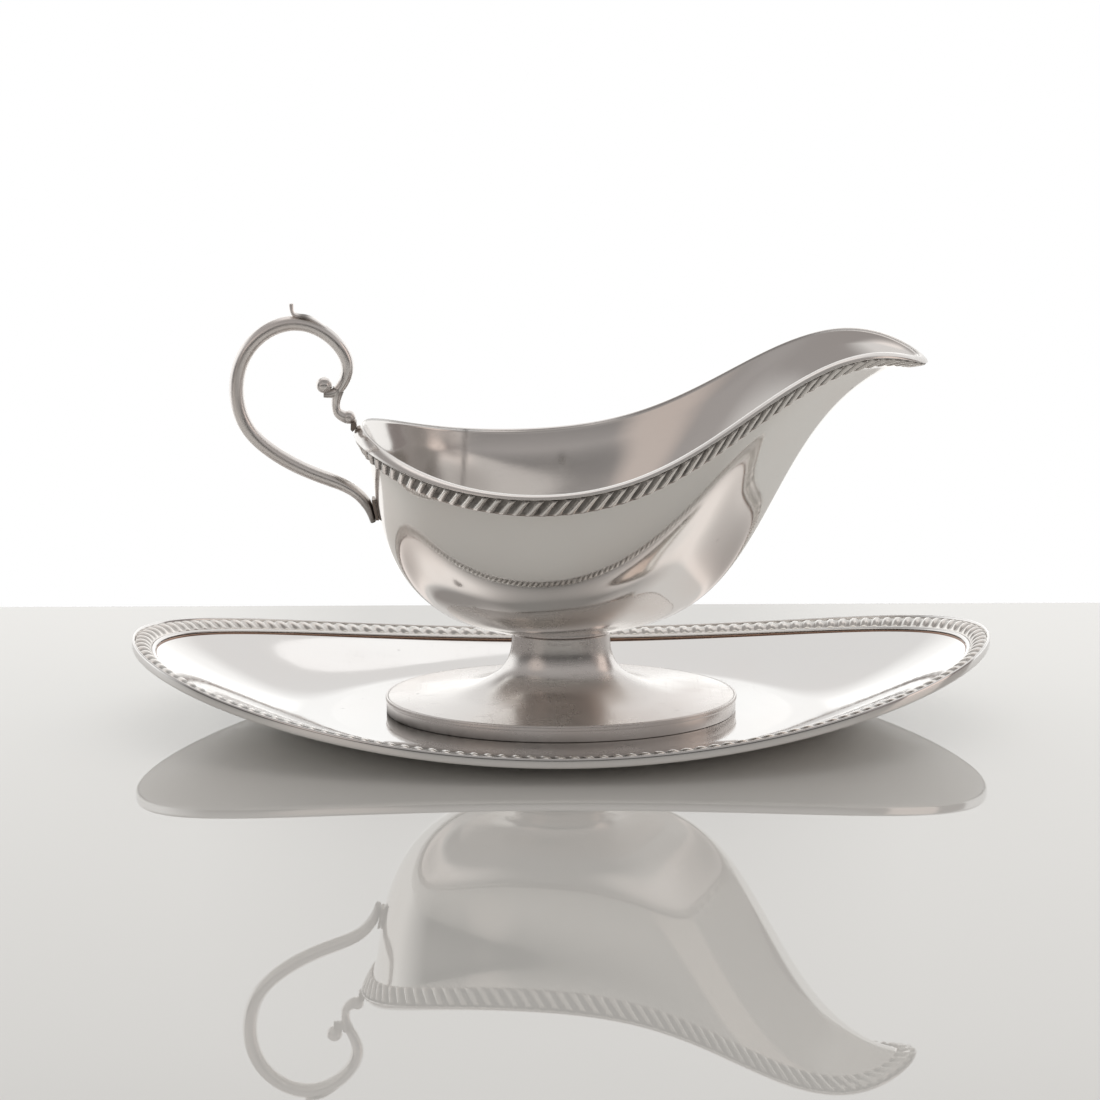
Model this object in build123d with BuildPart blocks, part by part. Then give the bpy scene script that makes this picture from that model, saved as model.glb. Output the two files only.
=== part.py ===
from build123d import *
import os
from math import cos, sin, pi, radians, hypot

os.makedirs("parts", exist_ok=True)

# A silver sauce boat standing loose on its oval tray. Millimetres, +Z up, +X towards the spout.
# The origin is the centre of the tray's underside. The whole piece is symmetrical about the XZ plane,
# so every curved sheet and border is made on the +Y side and mirrored.
# A sheet or border runs round the piece with an angle: 0 at the spout end, pi at the handle end.

# ---------------------------------------------------------------- tray sizes
TRAY_HALF_LENGTH = 120.0
TRAY_HALF_WIDTH = 70.5
TRAY_EDGE_SIDE_Z = 7.2  # top of the outer edge at the middle of a long side
TRAY_EDGE_END_Z = 23.4  # top of the outer edge at the two lifted ends
TRAY_SHEET = 1.3
FLOOR_HALF_LENGTH = 64.0
FLOOR_HALF_WIDTH = 44.0
DISH_START = 0.45  # share of the dish's run that stays level before it climbs
DISH_END = 0.35  # share of the run over which it settles into the border's slope
SLOPE_SIDE = 0.14  # rise over run of the border at the middle of a long side
SLOPE_END = 0.42  # and at the lifted ends
BAND_DEPTH = 2.8
BAND_THICK = 0.85
TRAY_ROPE_WIDTH = 4.5
TRAY_ROPE_RISE = 1.5
TRAY_ROPE_CREST = 0.1  # how far the rope's rounded top stands above the edge
TRAY_ROPE_SHOULDER = 0.5  # depth of its outer shoulder below the edge
TRAY_ROPE_TOP = (0.3, 0.7)  # shares of the rope's width between which its top lies
TRAY_RAIL_WIDTH = 1.1
TRAY_RAIL_RISE = 0.6
FLOOR_LAP = 1.0  # how far the flat floor runs into the curved sheet
FLOOR_SKIN = 0.02  # how far its top lies below the top of the sheet

# ---------------------------------------------------------------- boat sizes
# The lip's inner edge is a closed curve written as sums of cosines and sines of the angle.
LIP_X = (23.0, 73.4, -0.9, 3.4)
LIP_Y = (0.0, 42.1, -6.7, 0.95)
LIP_Z = (87.7, 15.3, 7.3, -4.9, -1.7, -1.1)
LIP_WIDTH = 2.6
LIP_THICK = 1.0
LIP_DROOP_SIDE = 0.3  # how far the lip's outer edge hangs below its inner edge
LIP_DROOP_SPOUT = 1.4
LIP_DROOP_BACK = 2.5
LIP_DROOP_FOCUS = 6  # a higher power keeps the droop nearer to the two ends
STRIP_DEPTH = 5.2  # slant height of the rope strip under the lip
STRIP_INSET = 0.4
STRIP_LEAN_SIDE = 24.0  # degrees from vertical
STRIP_LEAN_SPOUT = 80.0
STRIP_LEAN_BACK = 28.0
STRIP_FOCUS_SPOUT = 8
STRIP_FOCUS_BACK = 4
STRIP_TOP_THICK = 1.2
STRIP_FOOT_THICK = 0.35
WALL = 1.1
SOLDER = 0.08  # gap left between soldered pieces

BASE_Z = 25.6
BASE_HALF_LENGTH = 13.8
BASE_LAP = 0.4  # how far the flat base runs into the curved wall
BASE_SKIN = 0.03
OVAL = 0.70  # width over length of the foot, the neck and the bowl's base
# Bowl section: level run, shoulder run and shoulder height as shares of the way from base to strip, then
# the length in mm over which the wall turns into the strip's slope
SECTION_BACK = (0.465, 0.985, 0.23, 13.3)
SECTION_SPOUT = (0.645, 0.445, 0.86, 4.0)
SECTION_FOCUS = 2
FLARE_SHARES = (1.5, 2.0)  # the wall's last stretch, from the strip's foot to the lip

# Foot and neck: radii are along X, and OVAL times as much along Y
FOOT_RADIUS = 49.3
REST_GAP = 0.05  # between the loose boat and the tray's floor
FOOT_Z = TRAY_SHEET + REST_GAP
FOOT_TOP_Z = 5.9
FOOT_BAND = 1.0
FOOT_BEAD = 1.4  # height of the fine bead along the band's top
FOOT_BEAD_BULGE = 0.25
SKIRT_DROP = 0.1  # how far the pedestal's skirt sits below the band's top
NECK_RADIUS = 13.7
NECK_TOP_Z = 24.1
PEDESTAL_PROFILE = [(36.0, 7.1), (26.0, 8.6), (20.6, 10.6), (16.3, 14.0), (14.2, 18.5)]
PEDESTAL_SHEET = 1.0
COLLAR_BULGE = 0.8

# The handle lies in the XZ plane. Its bar runs from the lower joint up, over and into the inward curl.
BAR_PATH = [
    (-52.1, 55.9),
    (-53.5, 60.1),
    (-57.2, 64.4),
    (-66.5, 68.8),
    (-79.0, 75.2),
    (-87.0, 83.3),
    (-89.4, 93.5),
    (-85.6, 105.2),
    (-74.0, 111.9),
    (-62.4, 107.2),
    (-58.7, 99.7),
    (-59.8, 95.4),
    (-62.5, 92.4),
    (-65.3, 92.2),
]
# Bar thickness in the XZ plane, against the share of its length from the lower joint
BAR_TAPER = ((0, 1.5), (0.05, 2.7), (0.15, 3.5), (0.5, 3.7), (0.7, 3.8), (0.9, 3.3), (1, 2.0))
BAR_WIDTH = 4.8  # along Y
BAR_FLANK = 0.67  # share of the width taken by the flat between the two side ridges
STEM_PATH = [(-61.2, 93.6), (-62.0, 90.0), (-61.4, 86.8), (-58.8, 85.3)]
STEM_WIDTH = 3.6
STEM_THICK = 3.0
KNUCKLE_CENTRE = (-58.5, 0, 85.5)
KNUCKLE_RADIUS = 1.9
VOLUTE_CENTRE = (-65.2, 0, 94.6)
VOLUTE_RADIUS = 2.3
LEAF_WIDTH = 3.4
PLATE_WIDTH = 3.6
PAD_WIDTH = 4.8
PAD_SHARES = (0.70, 0.74, 0.78)  # the stretch of the bowl's back that the lower pad covers
PAD_THICK = 0.8

SHEET_ROWS = 72
SHEET_COLUMNS = 22
BORDER_SECTIONS = 44
OVERRUN = 0.05  # angle by which a sheet passes the XZ plane before it is trimmed there


# ---------------------------------------------------------------- curves of the tray
def tray_outward(angle):
    """Unit vector, level, pointing out of the tray's plan outline."""
    across = TRAY_HALF_WIDTH * cos(angle)
    along = TRAY_HALF_LENGTH * sin(angle)
    return Vector(across, along, 0).normalized()


def tray_edge(angle):
    """Top outer edge of the tray's border."""
    lift = (TRAY_EDGE_END_Z - TRAY_EDGE_SIDE_Z) * cos(angle) ** 2
    return Vector(TRAY_HALF_LENGTH * cos(angle), TRAY_HALF_WIDTH * sin(angle), TRAY_EDGE_SIDE_Z + lift)


def tray_slope(angle):
    """Rise over run of the border, steeper at the lifted ends."""
    return SLOPE_SIDE + (SLOPE_END - SLOPE_SIDE) * cos(angle) ** 2


def bezier(points, share):
    """Point on the Bezier curve with these control points."""
    while len(points) > 1:
        points = [a * (1 - share) + b * share for a, b in zip(points, points[1:])]
    return points[0]


def dish_point(angle, share):
    """Top of the tray's sheet, from the flat floor (share 0) to inside the outer band (share 1)."""
    floor = Vector(FLOOR_HALF_LENGTH * cos(angle), FLOOR_HALF_WIDTH * sin(angle), TRAY_SHEET)
    slope = tray_slope(angle)
    inset = BAND_THICK + SOLDER + TRAY_SHEET * slope / hypot(1, slope)
    drop = TRAY_ROPE_RISE + slope * (inset - BAND_THICK)
    edge = tray_edge(angle) - tray_outward(angle) * inset - Vector(0, 0, drop)
    run = Vector(edge.X - floor.X, edge.Y - floor.Y, 0)
    first = floor + run * DISH_START
    second = edge - run * DISH_END - Vector(0, 0, slope * run.length * DISH_END)
    return bezier([floor, first, second, edge], share)


# ---------------------------------------------------------------- curves of the bowl
def lip_inner(angle):
    """Inner top edge of the bowl's lip."""
    x = sum(c * cos(k * angle) for k, c in enumerate(LIP_X))
    y = sum(c * sin(k * angle) for k, c in enumerate(LIP_Y))
    z = sum(c * cos(k * angle) for k, c in enumerate(LIP_Z))
    return Vector(x, y, z)


def lip_outward(angle):
    """Unit vector, level, pointing out of the lip's plan outline."""
    along_x = sum(-k * c * sin(k * angle) for k, c in enumerate(LIP_X))
    along_y = sum(k * c * cos(k * angle) for k, c in enumerate(LIP_Y))
    return Vector(along_y, -along_x, 0).normalized()


def lip_droop(angle):
    """How far the lip's outer edge hangs below its inner edge, most at the spout and at the handle."""
    end = LIP_DROOP_SPOUT if cos(angle) > 0 else LIP_DROOP_BACK
    return LIP_DROOP_SIDE + (end - LIP_DROOP_SIDE) * cos(angle) ** LIP_DROOP_FOCUS


def lip_outer(angle):
    """Outer top edge of the lip, the widest line of the boat."""
    return lip_inner(angle) + lip_outward(angle) * LIP_WIDTH - Vector(0, 0, lip_droop(angle))


def strip_lean(angle):
    """Slant of the rope strip from vertical, in radians."""
    spout = ((1 + cos(angle)) / 2) ** STRIP_FOCUS_SPOUT
    back = ((1 - cos(angle)) / 2) ** STRIP_FOCUS_BACK
    lean = STRIP_LEAN_SIDE
    lean += (STRIP_LEAN_SPOUT - STRIP_LEAN_SIDE) * spout
    lean += (STRIP_LEAN_BACK - STRIP_LEAN_SIDE) * back
    return radians(lean)


def under_lip(angle, inset):
    """Height of the lip's underside above the lip's outer top edge, at a level distance inside it."""
    return lip_droop(angle) * inset / LIP_WIDTH - LIP_THICK


def strip_foot(angle, thickness):
    """Lower edge of the rope strip, as (outward, up) from the lip's outer top edge."""
    lean = strip_lean(angle)
    outward = -STRIP_INSET - STRIP_DEPTH * sin(lean) - thickness * cos(lean)
    up = under_lip(angle, STRIP_INSET) - STRIP_DEPTH * cos(lean) + thickness * sin(lean)
    return outward, up


def from_lip(angle, outward, up):
    """Point placed from the lip's outer top edge."""
    return lip_outer(angle) + lip_outward(angle) * outward + Vector(0, 0, up)


def bowl_point(angle, share):
    """Outside of the bowl, from the oval base (0) to the rope strip's foot (1) and the lip (2)."""
    base = Vector(BASE_HALF_LENGTH * cos(angle), OVAL * BASE_HALF_LENGTH * sin(angle), BASE_Z)
    foot = from_lip(angle, *strip_foot(angle, STRIP_FOOT_THICK + SOLDER))
    inset = STRIP_INSET + STRIP_TOP_THICK + SOLDER
    top = from_lip(angle, -inset, under_lip(angle, inset) - SOLDER - WALL * sin(strip_lean(angle)))
    if share > 1:
        return foot + (top - foot) * (share - 1)
    spout = ((1 + cos(angle)) / 2) ** SECTION_FOCUS
    level, shoulder, height, lead = (b + (s - b) * spout for b, s in zip(SECTION_BACK, SECTION_SPOUT))
    run = Vector(foot.X - base.X, foot.Y - base.Y, 0)
    climb = Vector(0, 0, foot.Z - base.Z)
    first = base + run * level
    second = base + run * shoulder + climb * height
    third = foot - (top - foot).normalized() * lead
    return bezier([base, first, second, third, foot], share)


# ---------------------------------------------------------------- helpers that build solids
def sheet_face(point, shares):
    """Smooth half sheet through the points of a surface, a little past the XZ plane at both ends."""
    turn = pi + 2 * OVERRUN
    angles = [turn * i / (SHEET_ROWS - 1) - OVERRUN for i in range(SHEET_ROWS)]
    rows = [[point(a, s) for s in shares] for a in angles]
    return Face.make_surface_from_array_of_points(rows, tol=0.004, min_deg=3, max_deg=5)


def border_plane(point, outward):
    """Section plane of a border: local X points out, local Y points up."""
    return Plane(origin=point, x_dir=outward, z_dir=outward.cross(Vector(0, 0, 1)))


def border_angles():
    return [pi * i / (BORDER_SECTIONS - 1) for i in range(BORDER_SECTIONS)]


# ---------------------------------------------------------------- tray
with BuildPart() as tray_dish:
    dish_shares = [i / (SHEET_COLUMNS - 1) for i in range(SHEET_COLUMNS)]
    thicken(sheet_face(dish_point, dish_shares), amount=-TRAY_SHEET, normal_override=(0, 0, 1))
    split(bisect_by=Plane.XZ, keep=Keep.BOTTOM)
    mirror(about=Plane.XZ)
    with BuildSketch(Plane.XY):
        Ellipse(FLOOR_HALF_LENGTH + FLOOR_LAP, FLOOR_HALF_WIDTH + FLOOR_LAP)
    extrude(amount=TRAY_SHEET - FLOOR_SKIN)
tray_dish.part.label = "tray_dish"
export_step(tray_dish.part, "parts/tray_dish.step")

with BuildPart() as tray_rim_band:
    for angle in border_angles():
        with BuildSketch(border_plane(tray_edge(angle), tray_outward(angle))):
            with BuildLine():
                Polyline((0, 0), (0, -BAND_DEPTH), (-BAND_THICK, -BAND_DEPTH), (-BAND_THICK, 0), close=True)
            make_face()
    loft()
    mirror(about=Plane.XZ)
tray_rim_band.part.label = "tray_rim_band"
export_step(tray_rim_band.part, "parts/tray_rim_band.step")

with BuildPart() as tray_rope_border:
    outer = -BAND_THICK - SOLDER
    rail = outer - TRAY_ROPE_WIDTH
    inner = rail - TRAY_RAIL_WIDTH
    base = SOLDER - TRAY_ROPE_RISE
    for angle in border_angles():
        slope = tray_slope(angle)
        steps = [TRAY_ROPE_WIDTH * share for share in TRAY_ROPE_TOP]
        crest = [(outer - step, TRAY_ROPE_CREST - step * slope) for step in steps]
        with BuildSketch(border_plane(tray_edge(angle), tray_outward(angle))):
            with BuildLine():
                Polyline(
                    (outer, base),
                    (outer, -TRAY_ROPE_SHOULDER),
                    *crest,
                    (rail, base + TRAY_RAIL_RISE - TRAY_ROPE_WIDTH * slope),
                    (inner, base + TRAY_RAIL_RISE + (inner - outer) * slope),
                    (inner, base + (inner - outer) * slope),
                    close=True,
                )
            make_face()
    loft()
    mirror(about=Plane.XZ)
tray_rope_border.part.label = "tray_rope_border"
export_step(tray_rope_border.part, "parts/tray_rope_border.step")

# ---------------------------------------------------------------- bowl and its rim
with BuildPart() as bowl:
    wall_shares = [i / (SHEET_COLUMNS - 1) for i in range(SHEET_COLUMNS)] + list(FLARE_SHARES)
    thicken(sheet_face(bowl_point, wall_shares), amount=-WALL, normal_override=(0, 1, 0))
    split(bisect_by=Plane.XZ, keep=Keep.BOTTOM)
    mirror(about=Plane.XZ)
    with BuildSketch(Plane.XY.offset(BASE_Z + BASE_SKIN)):
        Ellipse(BASE_HALF_LENGTH + BASE_LAP, OVAL * BASE_HALF_LENGTH + BASE_LAP)
    extrude(amount=WALL - 2 * BASE_SKIN)
bowl.part.label = "bowl"
export_step(bowl.part, "parts/bowl.step")

with BuildPart() as rim_lip:
    for angle in border_angles():
        droop = lip_droop(angle)
        with BuildSketch(border_plane(lip_outer(angle), lip_outward(angle))):
            with BuildLine():
                Polyline(
                    (0, 0),
                    (-LIP_WIDTH, droop),
                    (-LIP_WIDTH, droop - LIP_THICK),
                    (0, -LIP_THICK),
                    close=True,
                )
            make_face()
    loft()
    mirror(about=Plane.XZ)
rim_lip.part.label = "rim_lip"
export_step(rim_lip.part, "parts/rim_lip.step")

with BuildPart() as rim_rope_border:
    inner_top = STRIP_INSET + STRIP_TOP_THICK
    for angle in border_angles():
        with BuildSketch(border_plane(lip_outer(angle), lip_outward(angle))):
            with BuildLine():
                Polyline(
                    (-STRIP_INSET, under_lip(angle, STRIP_INSET) - SOLDER),
                    (-inner_top, under_lip(angle, inner_top) - SOLDER),
                    strip_foot(angle, STRIP_FOOT_THICK),
                    strip_foot(angle, 0),
                    close=True,
                )
            make_face()
    loft()
    mirror(about=Plane.XZ)
rim_rope_border.part.label = "rim_rope_border"
export_step(rim_rope_border.part, "parts/rim_rope_border.step")

# ---------------------------------------------------------------- foot, turned round and then drawn oval
with BuildPart() as foot_edge_band:
    band_face = FOOT_RADIUS - FOOT_BEAD_BULGE
    band_inner = FOOT_RADIUS - FOOT_BAND
    bead_low = FOOT_TOP_Z - FOOT_BEAD
    with BuildSketch(Plane.XZ):
        with BuildLine():
            Polyline((band_inner, FOOT_Z), (band_face, FOOT_Z), (band_face, bead_low))
            ThreePointArc(
                (band_face, bead_low),
                (FOOT_RADIUS, FOOT_TOP_Z - FOOT_BEAD / 2),
                (band_face, FOOT_TOP_Z),
            )
            Polyline((band_face, FOOT_TOP_Z), (band_inner, FOOT_TOP_Z), (band_inner, FOOT_Z))
        make_face()
    revolve(axis=Axis.Z)
    scale(by=(1, OVAL, 1))
foot_edge_band.part.label = "foot_edge_band"
export_step(foot_edge_band.part, "parts/foot_edge_band.step")

with BuildPart() as foot_pedestal:
    skirt = (FOOT_RADIUS - FOOT_BAND - SOLDER, FOOT_TOP_Z - SKIRT_DROP)
    outside = [skirt, *PEDESTAL_PROFILE, (NECK_RADIUS, NECK_TOP_Z)]
    inside = [(r - PEDESTAL_SHEET, z - PEDESTAL_SHEET) for r, z in outside]
    with BuildSketch(Plane.XZ):
        with BuildLine():
            Spline(*outside)
            Polyline(outside[-1], (NECK_RADIUS - PEDESTAL_SHEET, NECK_TOP_Z), inside[-1])
            Spline(*reversed(inside))
            Line(inside[0], skirt)
        make_face()
    revolve(axis=Axis.Z)
    scale(by=(1, OVAL, 1))
foot_pedestal.part.label = "foot_pedestal"
export_step(foot_pedestal.part, "parts/foot_pedestal.step")

with BuildPart() as neck_collar:
    collar_low = NECK_TOP_Z + SOLDER
    collar_top = BASE_Z - SOLDER
    collar_middle = (collar_low + collar_top) / 2
    collar_inner = NECK_RADIUS - PEDESTAL_SHEET
    with BuildSketch(Plane.XZ):
        with BuildLine():
            Line((collar_inner, collar_low), (NECK_RADIUS, collar_low))
            ThreePointArc(
                (NECK_RADIUS, collar_low),
                (NECK_RADIUS + COLLAR_BULGE, collar_middle),
                (NECK_RADIUS, collar_top),
            )
            Polyline((NECK_RADIUS, collar_top), (collar_inner, collar_top), (collar_inner, collar_low))
        make_face()
    revolve(axis=Axis.Z)
    scale(by=(1, OVAL, 1))
neck_collar.part.label = "neck_collar"
export_step(neck_collar.part, "parts/neck_collar.step")

# ---------------------------------------------------------------- handle, in the XZ plane
with BuildPart() as scroll_handle:
    with BuildLine(Plane.XZ) as bar_line:
        Spline(*BAR_PATH)
    ridge = BAR_WIDTH / 2
    flank = ridge * BAR_FLANK
    for share, thick in BAR_TAPER:
        half = thick / 2
        across = Plane(origin=bar_line.line @ share, x_dir=(0, 1, 0), z_dir=bar_line.line % share)
        with BuildSketch(across):
            with BuildLine():
                Polyline(
                    (ridge, 0),
                    (flank, half),
                    (-flank, half),
                    (-ridge, 0),
                    (-flank, -half),
                    (flank, -half),
                    close=True,
                )
            make_face()
    sweep(path=bar_line.line, multisection=True)
    with Locations(VOLUTE_CENTRE):
        Sphere(VOLUTE_RADIUS)
    with BuildLine(Plane.XZ) as stem_line:
        Spline(*STEM_PATH)
    with BuildSketch(Plane(origin=stem_line.line @ 0, x_dir=(0, 1, 0), z_dir=stem_line.line % 0)):
        Ellipse(STEM_WIDTH / 2, STEM_THICK / 2)
    sweep(path=stem_line.line)
    with Locations(KNUCKLE_CENTRE):
        Sphere(KNUCKLE_RADIUS)
scroll_handle.part.label = "scroll_handle"
export_step(scroll_handle.part, "parts/scroll_handle.step")

with BuildPart() as thumb_leaf:
    with BuildSketch(Plane.XZ):
        with BuildLine():
            Spline((-64.9, 111.2), (-69.5, 113.6), (-72.4, 115.1), (-73.1, 117.6))
            Line((-73.1, 117.6), (-74.4, 117.6))
            Spline((-74.4, 117.6), (-74.4, 115.3), (-75.3, 113.95))
            Spline((-75.3, 113.95), (-69.8, 113.15), (-65.1, 110.9))
            Line((-65.1, 110.9), (-64.9, 111.2))
        make_face()
    extrude(amount=LEAF_WIDTH / 2, both=True)
thumb_leaf.part.label = "thumb_leaf"
export_step(thumb_leaf.part, "parts/thumb_leaf.step")

with BuildPart() as upper_joint_plate:
    with BuildSketch(Plane.XZ):
        Polygon((-58.0, 82.3), (-57.45, 81.65), (-56.3, 82.75), (-56.5, 84.5), (-57.9, 84.2), align=None)
    extrude(amount=PLATE_WIDTH / 2, both=True)
upper_joint_plate.part.label = "upper_joint_plate"
export_step(upper_joint_plate.part, "parts/upper_joint_plate.step")

with BuildPart() as lower_joint_pad:
    back = [bowl_point(pi, share) for share in PAD_SHARES]
    near = [(p.X - SOLDER, p.Z) for p in back]
    far = [(p.X - SOLDER - PAD_THICK, p.Z) for p in back]
    with BuildSketch(Plane.XZ):
        with BuildLine():
            Polyline(*near, *reversed(far), close=True)
        make_face()
    extrude(amount=PAD_WIDTH / 2, both=True)
lower_joint_pad.part.label = "lower_joint_pad"
export_step(lower_joint_pad.part, "parts/lower_joint_pad.step")
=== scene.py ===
from math import comb, cos, pi, radians, sin

import bmesh
import bpy
import numpy as np
from mathutils import Matrix, Vector


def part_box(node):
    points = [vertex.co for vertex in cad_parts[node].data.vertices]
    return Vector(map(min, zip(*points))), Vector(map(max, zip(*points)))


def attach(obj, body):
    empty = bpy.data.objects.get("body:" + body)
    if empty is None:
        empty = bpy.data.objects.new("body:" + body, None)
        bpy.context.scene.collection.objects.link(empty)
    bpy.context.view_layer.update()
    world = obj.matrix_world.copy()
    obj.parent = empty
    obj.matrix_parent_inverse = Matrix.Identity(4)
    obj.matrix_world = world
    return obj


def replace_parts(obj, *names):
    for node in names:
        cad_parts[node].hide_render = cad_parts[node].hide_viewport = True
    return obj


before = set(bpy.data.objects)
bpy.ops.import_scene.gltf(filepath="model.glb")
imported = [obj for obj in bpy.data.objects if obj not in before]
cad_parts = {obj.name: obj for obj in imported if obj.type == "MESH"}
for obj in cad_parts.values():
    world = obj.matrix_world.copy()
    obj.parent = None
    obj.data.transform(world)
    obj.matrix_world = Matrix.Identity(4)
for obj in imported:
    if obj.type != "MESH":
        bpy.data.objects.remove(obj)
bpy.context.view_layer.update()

# Looks of a silver sauce boat on its oval tray. The curves are worked out in millimetres, in the frame's
# axes: +X towards the spout, +Y away from the camera, +Z up. Angle 0 is the spout end and pi the handle end.
MM = 0.001
UP = np.array([0.0, 0.0, 1.0])


def box_mm(node):
    """Lowest and highest corner of a CAD node, in millimetres."""
    low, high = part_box(node)
    return np.array(low) / MM, np.array(high) / MM


# ---------------------------------------------------------------- sizes, from the frame where it holds them
WALL_LOW, WALL_HIGH = box_mm("tray_rim_band")
BAND_DEPTH = 2.8
TRAY_HALF_LENGTH = WALL_HIGH[0]
TRAY_HALF_WIDTH = WALL_HIGH[1]
TRAY_EDGE_SIDE_Z = WALL_LOW[2] + BAND_DEPTH
TRAY_EDGE_END_Z = WALL_HIGH[2]
TRAY_SHEET = 1.3
FLOOR_HALF_LENGTH = 64.0
FLOOR_HALF_WIDTH = 44.0
DISH_START = 0.36
DISH_END = 0.35
SLOPE_SIDE = 0.14
SLOPE_END = 0.42
BAND_THICK = 0.85
TRAY_ROPE_WIDTH = 4.5
TRAY_ROPE_RISE = 1.5
TRAY_CREST = 0.3
TRAY_CREST_FALL = 1.15
TRAY_HOLLOW = 0.45
TRAY_RAIL_WIDTH = 1.1
TRAY_RAIL_RISE = 0.75
SOLDER = 0.08
SOLDER_BEAD_OUT = 0.25
SOLDER_BEAD_UP = 0.22
SOLDER_BEAD_SINK = 0.05

# The lip's inner edge is a closed curve written as sums of cosines and sines of the angle.
LIP_X = (23.0, 73.4, -0.9, 3.4)
LIP_Y = (0.0, 42.1, -6.7, 0.95)
LIP_Z = (87.7, 15.3, 7.3, -4.9, -1.7, -1.1)
LIP_WIDTH = 2.6
LIP_THICK = 1.0
LIP_CROWN = 0.25
LIP_SQUARENESS = 0.9
LIP_DROOP_SIDE = 0.3
LIP_DROOP_SPOUT = 1.4
LIP_DROOP_BACK = 2.5
STRIP_DEPTH = 5.2
STRIP_INSET = 0.4
STRIP_LEAN_SIDE = 24.0
STRIP_LEAN_SPOUT = 80.0
STRIP_LEAN_BACK = 28.0
STRIP_TOP_THICK = 1.2
STRIP_FOOT_THICK = 0.35
STRIP_LOBE_STAND = 0.45
STRIP_HOLLOW_TOP = 0.75
STRIP_HOLLOW_FOOT = 0.20
WALL = 1.1
WALL_TUCK = 0.06
WALL_TOP_SHARE = 0.8
WALL_EASE_FROM = 0.75

BASE_Z = box_mm("bowl")[0][2]
BASE_HALF_LENGTH = 13.8
OVAL = 0.70

# The bowl's wall: share of its run on the level, run and height of its shoulder, and the straight stretch
# below the rope in mm.
SECTION_BACK = (0.465, 0.985, 0.23, 13.3)
SECTION_SPOUT = (0.645, 0.445, 0.86, 4.0)

FOOT_LOW, FOOT_HIGH = box_mm("foot_edge_band")
FOOT_RADIUS = FOOT_HIGH[0]
FOOT_BAND = 1.0
FOOT_ROUND_OUT = 0.25
FOOT_ROUND_UP = 0.7
NECK_RADIUS = 13.7
NECK_TOP_Z = 24.1
PEDESTAL_PROFILE = [(36.0, 7.1), (26.0, 8.6), (20.6, 10.6), (16.3, 14.0), (14.2, 18.5)]
PEDESTAL_SHEET = 1.0
COLLAR_BULGE = 0.8

# The handle's parts follow (x, z) points; the bar's taper is (share of its length, thickness).
BAR_PATH = [
    (-52.1, 55.9),
    (-53.5, 60.1),
    (-57.2, 64.4),
    (-66.5, 68.8),
    (-79.0, 75.2),
    (-87.0, 83.3),
    (-89.4, 93.5),
    (-85.6, 105.2),
    (-74.0, 111.9),
    (-62.4, 107.2),
    (-58.7, 99.7),
    (-59.8, 95.4),
    (-62.5, 92.4),
    (-65.3, 92.2),
]
BAR_TAPER = ((0, 1.5), (0.05, 2.7), (0.15, 3.5), (0.5, 3.7), (0.7, 3.8), (0.9, 3.3), (1, 2.0))
BAR_WIDTH = 4.8
BAR_FLANK = 0.5
BAR_FULLNESS = 1.12
STEM_PATH = [(-61.2, 93.6), (-62.0, 90.0), (-61.4, 86.8), (-58.8, 85.3)]
KNUCKLE_CENTRE = (-58.5, 85.5)
KNUCKLE_RADIUS = 1.9
KNUCKLE_HALF_WIDTH = 2.0
VOLUTE_CENTRE = (-65.2, 94.6)
VOLUTE_RADIUS = 2.3
VOLUTE_HALF_WIDTH = 2.6
LEAF_PATH = [(-63.2, 109.7), (-66.6, 112.2), (-70.2, 113.8), (-73.3, 114.6), (-73.9, 117.4)]

# Rope borders: pitch along the border in mm, share of the pitch taken by a lobe, shift across it in pitches.
RIM_PITCH = 3.85
RIM_LOBE_SHARE = 0.6
RIM_SLANT = 1.0
TRAY_PITCH = 3.85
TRAY_LOBE_SHARE = 0.64
TRAY_SLANT = 0.45
LOBE_ROUNDNESS = 0.6
COLUMNS_PER_LOBE = 14

# Marks of age, as shares of full tarnish, and where they lie; the tray rope's near side adds painted shade to
# its oxide. LIP_DULL_FROM is the cosine of an angle.
TRAY_OXIDE_AND_SHADE_NEAR = 1.0
TRAY_OXIDE_AND_SHADE_FAR = 0.16
LIP_DULL = 0.33
LIP_DULL_FROM = 0.93
STAIN_DEPTH = 0.55
STAIN_X = 0.5
STAIN_Z = 64.0
STAIN_HALF_WIDTH = 1.2
STAIN_HALF_HEIGHT = 1.8
SEAM_DEPTH = 0.45
SEAM_X = -27.5
SEAM_LEAN = 0.06
SEAM_HALF_WIDTH = 0.7
SEAM_LOW_Z = 50.0
SEAM_FADE = 10.0


# ---------------------------------------------------------------- curves
def tray_outward(angle):
    across = np.stack([TRAY_HALF_WIDTH * np.cos(angle), TRAY_HALF_LENGTH * np.sin(angle), 0 * angle], -1)
    return across / np.linalg.norm(across, axis=-1, keepdims=True)


def tray_edge(angle):
    lift = (TRAY_EDGE_END_Z - TRAY_EDGE_SIDE_Z) * np.cos(angle) ** 2
    return np.stack(
        [TRAY_HALF_LENGTH * np.cos(angle), TRAY_HALF_WIDTH * np.sin(angle), TRAY_EDGE_SIDE_Z + lift], -1
    )


def tray_slope(angle):
    return SLOPE_SIDE + (SLOPE_END - SLOPE_SIDE) * np.cos(angle) ** 2


def bezier(controls, shares):
    """Points (angle, share) of a family of Bezier curves; each control point is an array over the angle."""
    degree = len(controls) - 1
    weights = [comb(degree, k) * shares**k * (1 - shares) ** (degree - k) for k in range(degree + 1)]
    return sum(c[:, None, :] * w[None, :, None] for c, w in zip(controls, weights))


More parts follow.
